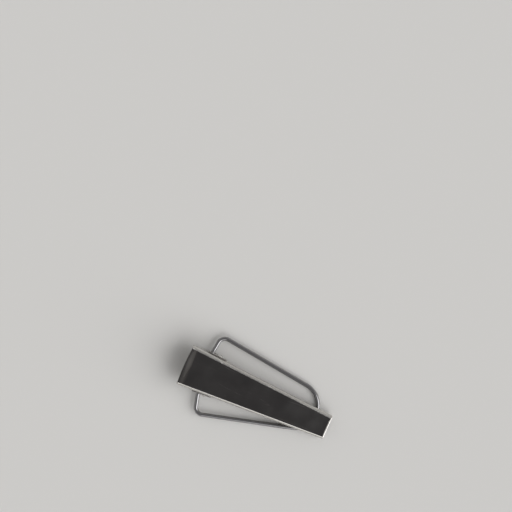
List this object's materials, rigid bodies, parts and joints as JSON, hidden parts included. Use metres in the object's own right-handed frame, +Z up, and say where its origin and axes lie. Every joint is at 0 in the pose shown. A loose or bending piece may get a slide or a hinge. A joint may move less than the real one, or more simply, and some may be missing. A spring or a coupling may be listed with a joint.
{
  "type": "bias tape maker",
  "caption": "Tapered sheet-metal folding channel with a slotted guide plate inside and a swinging wire pull handle",
  "frame": {"origin": "centre of the bounding box in X and Y, on the surface that the tool lies on", "axes": "+X from the wide mouth to the narrow mouth, +Y to the side the handle leans to, +Z up out of the flat back"},
  "size_m": [0.0432, 0.0232, 0.007],
  "materials": {
    "channel_enamel_and_nickel": "glossy near-black flat back, satin nickel rolled edges, walls and inside",
    "guide_nickel": "nickel-plated steel sheet, satin",
    "wire_steel": "drawn steel wire, dark and polished",
    "rivet_nickel": "nickel-plated rivet head, bright"
  },
  "bodies": {
    "tool_body": {"folding_channel": "channel_enamel_and_nickel", "guide_plate": "guide_nickel", "left_rivet": "rivet_nickel", "right_rivet": "rivet_nickel"},
    "handle": {"wire_handle": "wire_steel"}
  },
  "joints": [
    {"name": "handle_swing", "type": "hinge", "parent": "tool_body", "child": "handle", "pos_m": [-0.01531, 0.00019, 0.00155], "axis": [-0.0833, 0.9965, 0.0078], "range_deg": [0, 353]}
  ]
}
